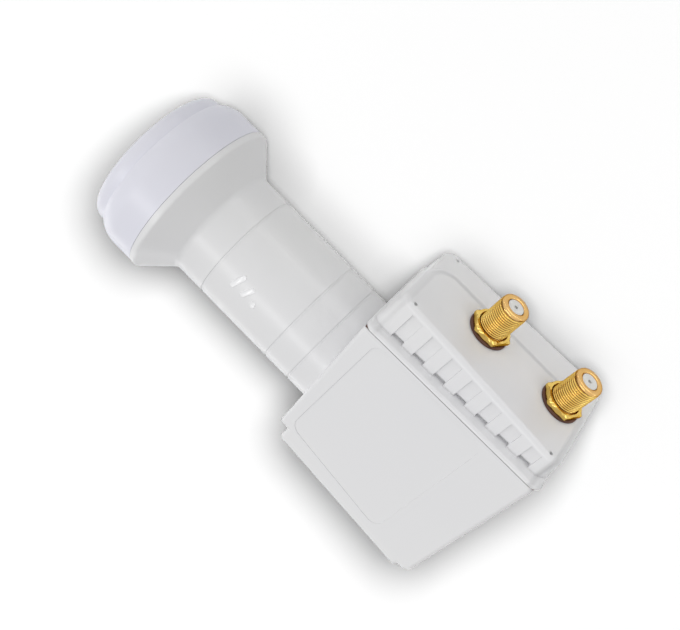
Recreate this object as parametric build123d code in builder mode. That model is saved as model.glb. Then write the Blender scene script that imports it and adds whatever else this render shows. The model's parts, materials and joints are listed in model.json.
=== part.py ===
from build123d import *
import os
from math import sqrt

os.makedirs("parts", exist_ok=True)

# Twin-output satellite LNB, in millimetres.
# The origin is on the neck's axis, in the middle of the zone that a bracket clamps.
# +X runs along the neck to the horn, +Z is the label face and the connectors point to -Y.

# Neck and horn
neck_diameter = 40.0
neck_length = 58.0
neck_wall = 2.2
clamp_to_box = 32.0
clamp_length = 29.4
inner_ring_to_clamp = 10.1
ring_groove_width = 0.7
ring_groove_depth = 0.2
horn_diameter = 59.2
flare_blend = 2.5
rim_blend = 1.2
rim_width = 2.0
lip_length = 8.4

# Horn cap
cap_wall = 2.0
cap_length = 20.4
cap_skirt_length = 8.0
cap_shoulder_length = 6.7
cap_shoulder_drop = 2.4
cap_step = 0.7
cap_front_radius = 3.4
cap_parting_gap = 0.08
seal_section = 1.3
seal_to_rim = 4.4

# Tapered box: reaches are measured from the neck's axis at the box's front wall
box_length = 65.0
box_shoulder = 0.7
side_draft = 0.067
mouth_reach_front = 32.8
mouth_draft = 0.085
spine_reach_front = 24.0
spine_draft = 0.057
front_lean = 0.048
box_corner_radius = 3.2
box_edge_radius = 1.4
shell_wall = 2.4
front_wall = 2.6
pad_reach = 29.8
pad_front_inset = 4.8
pad_rear_inset = 4.1
label_front_inset = 4.8
label_length = 42.6
label_mouth_inset = 3.0
label_spine_inset = 3.0
label_corner_radius = 4.0
label_depth = 0.15
pad_corner_radius = 1.3
pad_corner_share = 0.6

# Connector cover
plateau_reach = 46.1
foot_inset = 3.3
foot_front_inset = 0.48
foot_rear_inset = 0.7
cover_draft = 0.09
cover_corner_radius = 3.6
inner_corner_share = 0.25
cover_wall = 2.4
cover_top = 2.2
cover_seat = 2.0
ridge_radius = 1.8
lid_flange = 1.3
flange_bead = 1.1
flange_rear_overhang = 1.0
flange_corner_radius = 3.0
plug_wall = 1.4
plug_depth = 2.0
mouth_ledge = 2.4
gasket_thickness = 0.25
gasket_setback = 0.4
rib_count = 7
rib_pitch = 8.2
rib_width = 4.1
rib_first = 5.9
rib_depth = 0.6
rib_top_margin = 0.4
drain_height = 1.3
drain_depth = 1.7
field_edge = 8.0
field_radius = 8.0
field_inset = 0.4
field_height = 0.6
field_slope = 0.6
pin_hole_diameter = 1.1
pin_hole_depth = 1.4
pin_hole_inset = 4.3
pin_hole_edge = 1.5

# F connectors
connector_first = 25.1
connector_spacing = 29.6
connector_height = 13.5
thread_diameter = 9.5
thread_depth = 0.4
tip_chamfer = 0.5
socket_depth = 5.5
barrel_bore = 4.4
barrel_flange_diameter = 10.8
barrel_flange_thickness = 1.8
nut_flats = 12.0
nut_height = 2.0
washer_diameter = 13.4
washer_thickness = 0.9
washer_edge = 0.4
insulator_diameter = 5.4
insulator_recess = 0.4
insulator_hole = 1.2
contact_diameter = 0.8
contact_recess = 2.0
contact_bend = 2.0
contact_drop = 6.0

# Feed horn and waveguide
waveguide_diameter = 17.8
feed_wall = 2.4
spigot_wall = 1.5
spigot_length = 7.0
collar_width = 4.0
groove_width = 3.2
groove_depth = 8.0
tooth_width = 1.5
feed_flange = 1.9
feed_front_margin = 2.0
feed_taper_length = 24.0
feed_head_length = 10.0

# Chassis and board
chassis_wall = 2.0
chassis_rear_gap = 0.4
chassis_spine_gap = 2.0
chassis_corner_radius = 2.0
guide_roof = 1.5
guide_side = 2.6
guide_floor = 4.1
guide_depth = 31.4
tray_front_wall = 8.8
tray_depth = 3.6
boss_wall = 1.15
board_thickness = 0.8
pillar_radius = 2.4
pillar_inset = 1.7
screw_diameter = 2.0
screw_head_diameter = 3.8
shield_thickness = 1.2
shield_rib = 1.0
shield_rib_gap = 0.4
probe_diameter = 1.2
probe_reach = 5.4
upper_probe_depth = 15.4
side_probe_depth = 25.4
bush_diameter = 3.2
isolation_pin_diameter = 2.0
chip_size = 5.0
chip_height = 0.9
crystal_length = 5.0
crystal_width = 3.2
crystal_height = 1.2
regulator_length = 4.5
regulator_width = 2.6
regulator_height = 1.5
capacitor_length = 3.2
capacitor_width = 1.6
capacitor_height = 1.6
capacitor_pitch = 4.4

# Clearances: pieces that slide together, and pieces that fit closely
slip = 0.2
fit = 0.05

# Stations along the neck's axis
neck_radius = neck_diameter / 2
rim_radius = horn_diameter / 2
box_front = -clamp_to_box
box_rear = box_front - box_length
flare_start = box_front + neck_length
flare_end = flare_start + rim_radius - neck_radius
rim_end = flare_end + rim_width
lip_end = rim_end + lip_length
cavity_front = box_front - front_wall
cavity_rear = box_rear + shell_wall
pad_front = box_front - pad_front_inset
pad_rear = box_rear + pad_rear_inset

# Radii of the horn's nested pieces, from the outside in
bore_radius = neck_radius - neck_wall
cap_bore_radius = rim_radius - cap_wall
lip_radius = cap_bore_radius - slip
lip_bore_radius = lip_radius - neck_wall
seal_groove_radius = cap_bore_radius - seal_section - 2 * fit
guide_radius = waveguide_diameter / 2
tube_radius = guide_radius + feed_wall
spigot_radius = guide_radius + spigot_wall

# Cover and connector stations: the cover's foot is set from its flange, and its walls lean in above
box_half_height = neck_radius + box_shoulder
mouth_reach_rear = mouth_reach_front + mouth_draft * box_length
rim_front = box_front + front_lean * mouth_reach_front
flange_rear = box_rear - flange_rear_overhang
cover_inset = foot_inset + cover_draft * (plateau_reach - mouth_reach_front)
cover_front = rim_front - foot_front_inset - cover_draft * (plateau_reach - mouth_reach_front)
cover_rear = flange_rear + foot_rear_inset + cover_draft * (plateau_reach - mouth_reach_rear)
seat_drop = lid_flange + gasket_thickness
cover_depth = plateau_reach - mouth_reach_front + seat_drop + mouth_ledge + plug_depth
connector_stations = (box_front - connector_first, box_front - connector_first - connector_spacing)
thread_radius = thread_diameter / 2
core_radius = thread_radius - thread_depth
tip_reach = plateau_reach + connector_height
cover_underside = plateau_reach - cover_top


def half_height(x):
    """Half the box's height, label face to back face, at station x."""
    return box_half_height + side_draft * (box_front - x)


def mouth_reach(x):
    """How far the rim of the mouth lies from the axis at station x."""
    return mouth_reach_front + mouth_draft * (box_front - x)


def spine_reach(x):
    """How far the wall opposite the mouth lies from the axis at station x."""
    return spine_reach_front + spine_draft * (box_front - x)


def cross_section(x, toward_mouth, toward_spine, half):
    """A rectangle across the neck's axis at station x."""
    with BuildSketch(Plane.YZ.offset(x)) as section:
        with Locations(((toward_spine - toward_mouth) / 2, 0)):
            Rectangle(toward_spine + toward_mouth, 2 * half)
    return section.sketch


def box_section(x, wall, mouth_wall):
    """The box's section at station x, drawn in by its walls."""
    return cross_section(x, mouth_reach(x) - mouth_wall, spine_reach(x) - wall, half_height(x) - wall)


def pad_section(x, wall):
    """The section of the raised pad opposite the mouth."""
    return cross_section(x, 0, pad_reach - wall, half_height(x) - wall)


def rim_plane(lift):
    """The slanting plane of the mouth's rim, lifted toward the connectors."""
    return Plane(
        origin=(box_front, -mouth_reach_front - lift, 0),
        x_dir=(1, mouth_draft, 0),
        z_dir=(mouth_draft, -1, 0),
    )


def along_rim(x):
    """Distance from the box's front along the slanting rim at station x."""
    return (x - box_front) * sqrt(1 + mouth_draft**2)


def cover_plan(depth, shrink):
    """The cover's plan outline below its plateau, drawn in on every side."""
    grow = cover_draft * depth - shrink
    front = cover_front + grow
    rear = cover_rear - grow
    front_half = half_height(front) - cover_inset + grow
    rear_half = half_height(rear) - cover_inset + grow
    with BuildSketch(Plane.XZ.offset(plateau_reach - depth)) as plan:
        with BuildLine():
            Polyline(
                (front, front_half), (rear, rear_half), (rear, -rear_half), (front, -front_half), close=True
            )
        make_face()
        fillet(plan.vertices(), max(cover_corner_radius - shrink, inner_corner_share * cover_corner_radius))
    return plan.sketch


def cover_block(shrink, top_depth=0.0):
    """A drafted block of the cover's outline, from its top to below the rim."""
    with BuildPart() as block:
        loft([cover_plan(cover_depth, shrink), cover_plan(top_depth, shrink)], ruled=True)
    return block.part


def axial_ring(start, end, inner, outer):
    """Profile of a ring about the neck's axis."""
    with BuildSketch() as ring:
        with Locations(((start + end) / 2, (inner + outer) / 2)):
            Rectangle(end - start, outer - inner)
    return ring.sketch


# Main housing: horn flare, neck and box in one moulding
front_plane = Plane(origin=(box_front, 0, 0), z_dir=(1, front_lean, 0))
label_plane = Plane(origin=(box_front, 0, box_half_height), x_dir=(1, 0, -side_draft), z_dir=(side_draft, 0, 1))
box_nose = box_front + 2 * front_lean * mouth_reach_front
neck_root = box_front - (front_wall + front_lean * neck_radius) / 2
inner_cone_shift = neck_wall * sqrt(2)
pad_step = pad_reach - spine_reach(pad_rear)

with BuildPart() as pad:
    loft([pad_section(pad_front, 0), pad_section(pad_rear, 0)], ruled=True)
    fillet(pad.edges().filter_by(Axis.Z).sort_by(Axis.Y)[-2:], min(pad_corner_radius, pad_corner_share * pad_step))
    for end in (0, -1):
        rim_edges = pad.faces().sort_by(Axis.Z)[end].edges().sort_by(Axis.Y)[1:]
        fillet(rim_edges, box_edge_radius)

with BuildPart() as box_form:
    loft([box_section(box_nose, 0, 0), box_section(box_rear, 0, 0)], ruled=True)
    split(bisect_by=front_plane, keep=Keep.BOTTOM)
    fillet(box_form.edges().filter_by(Axis.Z).sort_by(Axis.Y)[-2:], box_corner_radius)
    for end in (0, -1):
        fillet(box_form.faces().sort_by(Axis.Z)[end].edges().sort_by(Axis.Y)[1:], box_edge_radius)

with BuildPart() as main_housing:
    add(box_form.part)
    split(bisect_by=rim_plane(-seat_drop), keep=Keep.BOTTOM)
    add(pad.part)

    # Inside of the box and of the pad, and the mouth through its ledge
    cavity_mouth = seat_drop + mouth_ledge
    loft(
        [box_section(cavity_front, shell_wall, cavity_mouth), box_section(cavity_rear, shell_wall, cavity_mouth)],
        ruled=True,
        mode=Mode.SUBTRACT,
    )
    loft(
        [pad_section(pad_front - shell_wall, shell_wall), pad_section(pad_rear + shell_wall, shell_wall)],
        ruled=True,
        mode=Mode.SUBTRACT,
    )
    add(cover_block(cover_seat), mode=Mode.SUBTRACT)

    # Shallow field for a label
    label_rear_inset = label_front_inset + label_length
    label_corners = []
    for inset in (label_front_inset, label_rear_inset):
        station = box_front - inset
        label_corners.append((-inset, label_mouth_inset - mouth_reach(station)))
        label_corners.append((-inset, spine_reach(station) - label_spine_inset))
    front_mouth, front_spine, rear_mouth, rear_spine = label_corners
    with BuildSketch(label_plane) as label_field:
        with BuildLine():
            Polyline(front_mouth, front_spine, rear_spine, rear_mouth, close=True)
        make_face()
        fillet(label_field.vertices(), label_corner_radius)
    extrude(amount=-label_depth, mode=Mode.SUBTRACT)

    # Neck, flare and the lip that carries the cap
    with BuildSketch() as horn_profile:
        with BuildLine():
            Polyline(
                (neck_root, bore_radius),
                (neck_root, neck_radius),
                (flare_start, neck_radius),
                (flare_end, rim_radius),
                (rim_end, rim_radius),
                (rim_end, lip_radius),
                (lip_end, lip_radius),
                (lip_end, lip_bore_radius),
                (flare_start + lip_bore_radius - neck_radius + inner_cone_shift, lip_bore_radius),
                (flare_start + bore_radius - neck_radius + inner_cone_shift, bore_radius),
                close=True,
            )
        make_face()
        fillet(horn_profile.vertices().sort_by_distance((flare_start, neck_radius))[0], flare_blend)
        fillet(horn_profile.vertices().sort_by_distance((flare_end, rim_radius))[0], rim_blend)
    revolve(axis=Axis.X)

    # Ring marks round the neck, at both ends of the clamp zone and near the box
    ring_stations = (clamp_length / 2, -clamp_length / 2, -clamp_length / 2 - inner_ring_to_clamp)
    with BuildSketch() as ring_marks:
        with Locations(*[(station, neck_radius) for station in ring_stations]):
            Rectangle(ring_groove_width, 2 * ring_groove_depth)
    revolve(axis=Axis.X, mode=Mode.SUBTRACT)

    # Groove for the cap's seal, and the feed's way through the front wall
    seal_station = rim_end + seal_to_rim
    add(axial_ring(seal_station - seal_section / 2 - slip, seal_station + seal_section / 2 + slip,
                   seal_groove_radius, lip_radius + slip))
    revolve(axis=Axis.X, mode=Mode.SUBTRACT)
    add(axial_ring(cavity_front - slip, flare_start, 0, tube_radius + slip))
    revolve(axis=Axis.X, mode=Mode.SUBTRACT)

main_housing.part.label = "main_housing"
export_step(main_housing.part, "parts/main_housing.step")


# Connector cover: ribbed lid with a flange on the rim and a plug that sits in the mouth
plateau_plane = Plane.XZ.offset(plateau_reach)
cover_middle = (cover_front + cover_rear) / 2
cover_length = cover_front - cover_rear
rib_stations = [cover_front - rib_first - rib_width / 2 - rib_pitch * k for k in range(rib_count)]
rib_run = 2 * plateau_reach
wall_stretch = sqrt(1 + side_draft**2)
rise_stretch = sqrt(1 + cover_draft**2)
rib_top = plateau_reach - ridge_radius - rib_top_margin


def raised_field(depth, spread):
    """Outline of the plateau's raised field, which runs out over the near edge."""
    length = cover_length - 2 * field_inset + 2 * spread
    height = 2 * box_half_height + field_edge + spread
    with BuildSketch(Plane.XZ.offset(plateau_reach - depth)) as outline:
        with Locations((cover_middle, height / 2 - field_edge - spread)):
            RectangleRounded(length, height, field_radius + spread)
    return outline.sketch


with BuildPart() as far_band:
    with BuildSketch(plateau_plane):
        with Locations((cover_middle, 0)):
            Rectangle(2 * cover_length, 4 * box_half_height)
    extrude(amount=-field_height)
    loft([raised_field(field_height, field_slope), raised_field(0, 0)], ruled=True, mode=Mode.SUBTRACT)

with BuildPart() as plug:
    add(cover_block(cover_seat + slip))
    add(cover_block(cover_seat + slip + plug_wall), mode=Mode.SUBTRACT)
    split(bisect_by=rim_plane(-seat_drop - plug_depth), keep=Keep.TOP)
    split(bisect_by=rim_plane(plug_depth), keep=Keep.BOTTOM)

with BuildPart() as flange:
    with BuildSketch(rim_plane(-lid_flange)) as flange_outline:
        with BuildLine():
            Polyline(
                (along_rim(rim_front), half_height(rim_front)),
                (along_rim(flange_rear), half_height(flange_rear)),
                (along_rim(flange_rear), -half_height(flange_rear)),
                (along_rim(rim_front), -half_height(rim_front)),
                close=True,
            )
        make_face()
        fillet(flange_outline.vertices(), flange_corner_radius)
    extrude(amount=lid_flange)
    fillet(flange.faces().sort_by(Axis((0, 0, 0), (mouth_draft, -1, 0)))[-1].edges(), flange_bead)

with BuildPart() as connector_cover:
    add(cover_block(0))
    fillet(connector_cover.faces().sort_by(Axis.Y)[0].edges(), ridge_radius)
    add(far_band.part, mode=Mode.SUBTRACT)

    # Rows of shallow recesses on the two long walls
    for side in (1, -1):
        wall = connector_cover.faces().sort_by(lambda face: side * face.normal_at().Z)[-1]
        middle = wall.center()
        wall_plane = Plane(origin=middle, x_dir=(side, 0, -side_draft), z_dir=wall.normal_at(middle))
        top = (-rib_top - middle.Y) * rise_stretch
        spots = [(side * (x - middle.X) * wall_stretch, top + rib_run / 2) for x in rib_stations]
        with BuildSketch(wall_plane):
            with Locations(*spots):
                Rectangle(rib_width, rib_run)
        extrude(amount=-rib_depth, mode=Mode.SUBTRACT)

    # Flange round the foot, hollow inside, and the plug below
    split(bisect_by=rim_plane(-lid_flange), keep=Keep.TOP)
    add(flange.part)
    add(cover_block(cover_wall, cover_top), mode=Mode.SUBTRACT)
    add(plug.part)

    # Drain slots at the foot of each recess
    slot_spots = []
    for x in rib_stations:
        foot_half = half_height(x) - cover_inset + cover_draft * (plateau_reach - mouth_reach(x))
        slot_spots += [(along_rim(x), foot_half), (along_rim(x), -foot_half)]
    with BuildSketch(rim_plane(0)):
        with Locations(*slot_spots):
            Rectangle(rib_width, 2 * drain_depth)
    extrude(amount=drain_height, mode=Mode.SUBTRACT)

    # Holes for the connectors, and four small blind pin holes near the corners
    with BuildSketch(plateau_plane):
        with Locations(*[(x, 0) for x in connector_stations]):
            Circle(thread_radius + slip)
    extrude(amount=-2 * cover_top, mode=Mode.SUBTRACT)
    pin_spots = []
    for x in (cover_front - pin_hole_inset, cover_rear + pin_hole_inset):
        reach = half_height(x) - cover_inset - pin_hole_edge
        pin_spots += [(x, reach), (x, -reach)]
    with BuildSketch(plateau_plane):
        with Locations(*pin_spots):
            Circle(pin_hole_diameter / 2)
    extrude(amount=-pin_hole_depth, mode=Mode.SUBTRACT)

connector_cover.part.label = "connector_cover"
export_step(connector_cover.part, "parts/connector_cover.step")


# Gasket between the cover's flange and the housing's rim, set back from the outside
gasket_front = rim_front - gasket_setback
gasket_rear = box_rear + gasket_setback
with BuildPart() as cover_gasket:
    loft([box_section(gasket_front, gasket_setback, 0), box_section(gasket_rear, gasket_setback, 0)], ruled=True)
    add(cover_block(cover_seat), mode=Mode.SUBTRACT)
    split(bisect_by=rim_plane(-seat_drop), keep=Keep.TOP)
    split(bisect_by=rim_plane(-lid_flange), keep=Keep.BOTTOM)
cover_gasket.part.label = "cover_gasket"
export_step(cover_gasket.part, "parts/cover_gasket.step")


# Horn cap with its stepped front disc
cap_rear = rim_end + cap_parting_gap
cap_front = cap_rear + cap_length
shoulder_start = cap_rear + cap_skirt_length
shoulder_end = shoulder_start + cap_shoulder_length
shoulder_radius = rim_radius - cap_shoulder_drop
disc_radius = shoulder_radius - cap_step
cap_inner_front = cap_front - cap_wall

with BuildPart() as horn_cap:
    with BuildSketch() as cap_profile:
        with BuildLine():
            Line((cap_rear, cap_bore_radius), (cap_rear, rim_radius))
            Line((cap_rear, rim_radius), (shoulder_start, rim_radius))
            TangentArc((shoulder_start, rim_radius), (shoulder_end, shoulder_radius), tangent=(1, 0))
            Line((shoulder_end, shoulder_radius), (shoulder_end, disc_radius))
            Line((shoulder_end, disc_radius), (cap_front - cap_front_radius, disc_radius))
            TangentArc((cap_front - cap_front_radius, disc_radius),
                       (cap_front, disc_radius - cap_front_radius), tangent=(1, 0))
            Polyline(
                (cap_front, disc_radius - cap_front_radius),
                (cap_front, 0),
                (cap_inner_front, 0),
                (cap_inner_front, disc_radius - cap_front_radius),
                (shoulder_end, disc_radius - cap_wall),
                (shoulder_start + cap_wall, cap_bore_radius),
                (cap_rear, cap_bore_radius),
            )
        make_face()
    revolve(axis=Axis.X)
horn_cap.part.label = "horn_cap"
export_step(horn_cap.part, "parts/horn_cap.step")


# O-ring in the lip's groove
with BuildPart() as cap_seal:
    with BuildSketch():
        with Locations((seal_station, seal_groove_radius + fit + seal_section / 2)):
            Circle(seal_section / 2)
    revolve(axis=Axis.X)
cap_seal.part.label = "cap_seal"
export_step(cap_seal.part, "parts/cap_seal.step")


# Feed horn: waveguide tube with two collars and a corrugated mouth
head_radius = lip_bore_radius - slip
head_rear = lip_end - feed_head_length + feed_flange
flange_front = lip_end + feed_flange
feed_front = flange_front + feed_front_margin
outer_groove = head_radius - tooth_width - groove_width
inner_groove = outer_groove - tooth_width - groove_width
mouth_radius = inner_groove - tooth_width
feed_cone_start = head_rear - (head_radius - tube_radius)
collar_radius = bore_radius - slip

with BuildPart() as feed_horn:
    with BuildSketch() as feed_profile:
        with BuildLine():
            Polyline(
                (cavity_front - spigot_length, guide_radius),
                (cavity_front - spigot_length, spigot_radius),
                (cavity_front, spigot_radius),
                (cavity_front, tube_radius),
                (feed_cone_start, tube_radius),
                (head_rear, head_radius),
                (lip_end, head_radius),
                (lip_end, lip_radius - slip),
                (flange_front, lip_radius - slip),
                (flange_front, head_radius),
                (feed_front, head_radius),
                (feed_front, mouth_radius),
                (feed_front - feed_taper_length, guide_radius),
                close=True,
            )
        make_face()
    revolve(axis=Axis.X)
    for station in (box_front + 2 * collar_width, clamp_length / 2):
        add(axial_ring(station - collar_width / 2, station + collar_width / 2, tube_radius - fit, collar_radius))
    revolve(axis=Axis.X)
    for inner in (inner_groove, outer_groove):
        add(axial_ring(feed_front - groove_depth, feed_front, inner, inner + groove_width))
    revolve(axis=Axis.X, mode=Mode.SUBTRACT)
feed_horn.part.label = "feed_horn"
export_step(feed_horn.part, "parts/feed_horn.step")


# Die-cast chassis: waveguide end, board tray above it and connector bosses
chassis_front = cavity_front
chassis_rear = cavity_rear + chassis_rear_gap
chassis_mouth = mouth_reach_front - seat_drop - mouth_ledge
chassis_spine = spine_reach_front - shell_wall - chassis_spine_gap
tray_floor = guide_radius + guide_roof
chassis_top = tray_floor + tray_depth
chassis_bottom = -guide_radius - guide_floor
chassis_length = chassis_front - chassis_rear
chassis_width = chassis_mouth + chassis_spine
chassis_x = (chassis_front + chassis_rear) / 2
chassis_y = (chassis_spine - chassis_mouth) / 2
tray_front = chassis_front - tray_front_wall
tray_rear = chassis_rear + chassis_wall
tray_length = tray_front - tray_rear
tray_width = chassis_width - 2 * chassis_wall
tray_x = (tray_front + tray_rear) / 2
guide_end = chassis_front - guide_depth
guide_block_end = guide_end - chassis_wall
guide_block_half = guide_radius + guide_side
pocket_length = chassis_length - 2 * chassis_wall
boss_radius = thread_radius + fit + boss_wall
upper_probe_x = chassis_front - upper_probe_depth
side_probe_x = chassis_front - side_probe_depth
pin_x = (upper_probe_x + side_probe_x) / 2
lead_y = -chassis_mouth + chassis_wall + contact_drop
side_lead_y = guide_block_half + contact_bend + probe_diameter
lead_spots = [(x, lead_y) for x in connector_stations]
probe_spots = [(upper_probe_x, 0), (side_probe_x, side_lead_y)]
pillar_columns = (tray_front - pillar_inset, tray_x, tray_rear + pillar_inset)
pillar_rows = (chassis_y - tray_width / 2 + pillar_inset, chassis_y + tray_width / 2 - pillar_inset)
pillar_spots = [(x, y) for x in pillar_columns for y in pillar_rows]
screw_length = shield_thickness + tray_depth - board_thickness
contact_radius = contact_diameter / 2
probe_radius = probe_diameter / 2
pin_radius = isolation_pin_diameter / 2

with BuildPart() as chassis:
    with BuildSketch(Plane.XY.offset(chassis_bottom)):
        with Locations((chassis_x, chassis_y)):
            RectangleRounded(chassis_length, chassis_width, chassis_corner_radius)
    extrude(amount=chassis_top - chassis_bottom)
    with BuildSketch(Plane.XY.offset(tray_floor)):
        with Locations((tray_x, chassis_y)):
            Rectangle(tray_length, tray_width)
        with Locations(*pillar_spots):
            Circle(pillar_radius, mode=Mode.SUBTRACT)
    extrude(amount=tray_depth, mode=Mode.SUBTRACT)

    # Pocket below the tray, round the block that holds the waveguide's end
    with BuildSketch(Plane.XY.offset(chassis_bottom)):
        with Locations((chassis_x, chassis_y)):
            Rectangle(pocket_length, tray_width)
        with Locations(((chassis_front + guide_block_end) / 2, 0)):
            Rectangle(chassis_front - guide_block_end, 2 * guide_block_half, mode=Mode.SUBTRACT)
        with Locations(((chassis_front + tray_front) / 2, chassis_y)):
            Rectangle(tray_front_wall, chassis_width, mode=Mode.SUBTRACT)
    extrude(amount=tray_floor - guide_roof - chassis_bottom, mode=Mode.SUBTRACT)
    add(axial_ring(guide_end, chassis_front, 0, guide_radius))
    revolve(axis=Axis.X, mode=Mode.SUBTRACT)
    add(axial_ring(chassis_front - spigot_length - slip, chassis_front, 0, spigot_radius + fit))
    revolve(axis=Axis.X, mode=Mode.SUBTRACT)

    # Bosses up to the cover's underside, bored for the connectors
    with BuildSketch(Plane.XZ.offset(chassis_mouth - chassis_wall)):
        with Locations(*[(x, 0) for x in connector_stations]):
            Circle(boss_radius)
    extrude(amount=cover_underside - fit - chassis_mouth + chassis_wall)
    with BuildSketch(Plane.XZ.offset(chassis_mouth - chassis_wall)):
        with Locations(*[(x, 0) for x in connector_stations]):
            Circle(thread_radius + fit)
    extrude(amount=cover_underside, mode=Mode.SUBTRACT)

    # Holes for leads, probes, the isolation pin and the screws
    with BuildSketch(Plane.XY.offset(tray_floor)):
        with Locations(*lead_spots, probe_spots[1]):
            Circle(probe_radius + 2 * slip)
        with Locations(probe_spots[0]):
            Circle(bush_diameter / 2 + fit)
    extrude(amount=-2 * guide_roof, mode=Mode.SUBTRACT)
    with BuildSketch(Plane.XZ.offset(-guide_block_half)):
        with Locations((side_probe_x, 0)):
            Circle(bush_diameter / 2 + fit)
    extrude(amount=2 * guide_side, mode=Mode.SUBTRACT)
    with BuildSketch(Plane.XY.offset(chassis_bottom)):
        with Locations((pin_x, 0)):
            Circle(pin_radius + fit)
    extrude(amount=tray_floor - guide_roof / 2 - chassis_bottom, mode=Mode.SUBTRACT)
    with BuildSketch(Plane.XY.offset(chassis_top)):
        with Locations(*pillar_spots):
            Circle(screw_diameter / 2 + fit)
    extrude(amount=-tray_depth + board_thickness / 2, mode=Mode.SUBTRACT)
chassis.part.label = "chassis"
export_step(chassis.part, "parts/chassis.step")


# Circuit board on the tray's floor
board_top = tray_floor + board_thickness
with BuildPart() as circuit_board:
    with BuildSketch(Plane.XY.offset(tray_floor)):
        with Locations((tray_x, chassis_y)):
            Rectangle(tray_length - 2 * slip, tray_width - 2 * slip)
        with Locations(*pillar_spots):
            Circle(pillar_radius + slip, mode=Mode.SUBTRACT)
        with Locations(*lead_spots):
            Circle(contact_radius + fit, mode=Mode.SUBTRACT)
        with Locations(*probe_spots):
            Circle(probe_radius + fit, mode=Mode.SUBTRACT)
    extrude(amount=board_thickness)
circuit_board.part.label = "circuit_board"
export_step(circuit_board.part, "parts/circuit_board.step")


# Shield lid with two partition ribs, and its countersunk screws
head_drop = (screw_head_diameter - screw_diameter) / 2
shield_top = chassis_top + shield_thickness
rib_height = tray_depth - board_thickness - shield_rib_gap
rib_y = (lead_y + side_lead_y) / 2
rib_x = (tray_x + tray_rear) / 2

with BuildPart() as shield_lid:
    with BuildSketch(Plane.XY.offset(chassis_top)):
        with Locations((tray_x, chassis_y)):
            Rectangle(tray_length + 2 * chassis_wall - 2 * slip, chassis_width - 2 * slip)
    extrude(amount=shield_thickness)
    with BuildSketch(Plane.XY.offset(chassis_top)):
        with Locations((tray_x, rib_y)):
            Rectangle(tray_length - 2 * slip, shield_rib)
        with Locations((rib_x, chassis_y)):
            Rectangle(shield_rib, tray_width - 2 * slip)
    extrude(amount=-rib_height)
    with Locations(*[(x, y, shield_top) for x, y in pillar_spots]):
        CounterSinkHole(screw_diameter / 2 + fit, screw_head_diameter / 2 + fit)
shield_lid.part.label = "shield_lid"
export_step(shield_lid.part, "parts/shield_lid.step")

with BuildPart() as shield_screws:
    with BuildSketch(Plane.XZ) as screw_profile:
        with BuildLine():
            Polyline(
                (0, shield_top),
                (screw_head_diameter / 2, shield_top),
                (screw_diameter / 2, shield_top - head_drop),
                (screw_diameter / 2, shield_top - screw_length),
                (0, shield_top - screw_length),
                close=True,
            )
        make_face()
    with Locations(*[(x, y, 0) for x, y in pillar_spots]):
        add(revolve(screw_profile.sketch, axis=Axis.Z, mode=Mode.PRIVATE))
shield_screws.part.label = "shield_screws"
export_step(shield_screws.part, "parts/shield_screws.step")


# Probes, their bushes and the pin between them
with BuildPart() as upper_probe:
    with BuildSketch(Plane.XY.offset(guide_radius - probe_reach)):
        with Locations((upper_probe_x, 0)):
            Circle(probe_radius)
    extrude(amount=board_top + probe_radius - guide_radius + probe_reach)
upper_probe.part.label = "upper_probe"
export_step(upper_probe.part, "parts/upper_probe.step")

with BuildPart() as side_probe:
    with BuildLine() as side_path:
        FilletPolyline(
            (side_probe_x, guide_radius - probe_reach, 0),
            (side_probe_x, side_lead_y, 0),
            (side_probe_x, side_lead_y, board_top + probe_radius),
            radius=contact_bend,
        )
    with BuildSketch(Plane(origin=side_path.line @ 0, z_dir=side_path.line % 0)):
        Circle(probe_radius)
    sweep()
side_probe.part.label = "side_probe"
export_step(side_probe.part, "parts/side_probe.step")

with BuildPart() as upper_probe_bush:
    with BuildSketch(Plane.XY.offset(tray_floor)):
        with Locations((upper_probe_x, 0)):
            Circle(bush_diameter / 2)
            Circle(probe_radius + fit, mode=Mode.SUBTRACT)
    extrude(amount=-guide_roof)
upper_probe_bush.part.label = "upper_probe_bush"
export_step(upper_probe_bush.part, "parts/upper_probe_bush.step")

with BuildPart() as side_probe_bush:
    with BuildSketch(Plane.XZ.offset(-guide_block_half)):
        with Locations((side_probe_x, 0)):
            Circle(bush_diameter / 2)
            Circle(probe_radius + fit, mode=Mode.SUBTRACT)
    extrude(amount=guide_side)
side_probe_bush.part.label = "side_probe_bush"
export_step(side_probe_bush.part, "parts/side_probe_bush.step")

with BuildPart() as isolation_pin:
    with BuildSketch(Plane.XY.offset(chassis_bottom)):
        with Locations((pin_x, 0)):
            Circle(pin_radius)
    extrude(amount=tray_floor - guide_roof / 2 - fit - chassis_bottom)
isolation_pin.part.label = "isolation_pin"
export_step(isolation_pin.part, "parts/isolation_pin.step")


# Main parts on the board
board_plane = Plane.XY.offset(board_top)
front_bay_x = (tray_front + rib_x) / 2
rear_bay_x = (tray_rear + rib_x) / 2
mouth_bay_y = (rib_y + chassis_y - tray_width / 2) / 2
spine_bay_y = (rib_y + chassis_y + tray_width / 2) / 2

with BuildPart() as board_chips:
    with BuildSketch(board_plane):
        with Locations((front_bay_x, mouth_bay_y), (front_bay_x, spine_bay_y)):
            Rectangle(chip_size, chip_size)
    extrude(amount=chip_height)
board_chips.part.label = "board_chips"
export_step(board_chips.part, "parts/board_chips.step")

with BuildPart() as crystal_can:
    with BuildSketch(board_plane):
        with Locations((front_bay_x - 2 * chip_size, spine_bay_y)):
            RectangleRounded(crystal_length, crystal_width, crystal_width / 4)
    extrude(amount=crystal_height)
crystal_can.part.label = "crystal_can"
export_step(crystal_can.part, "parts/crystal_can.step")

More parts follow.
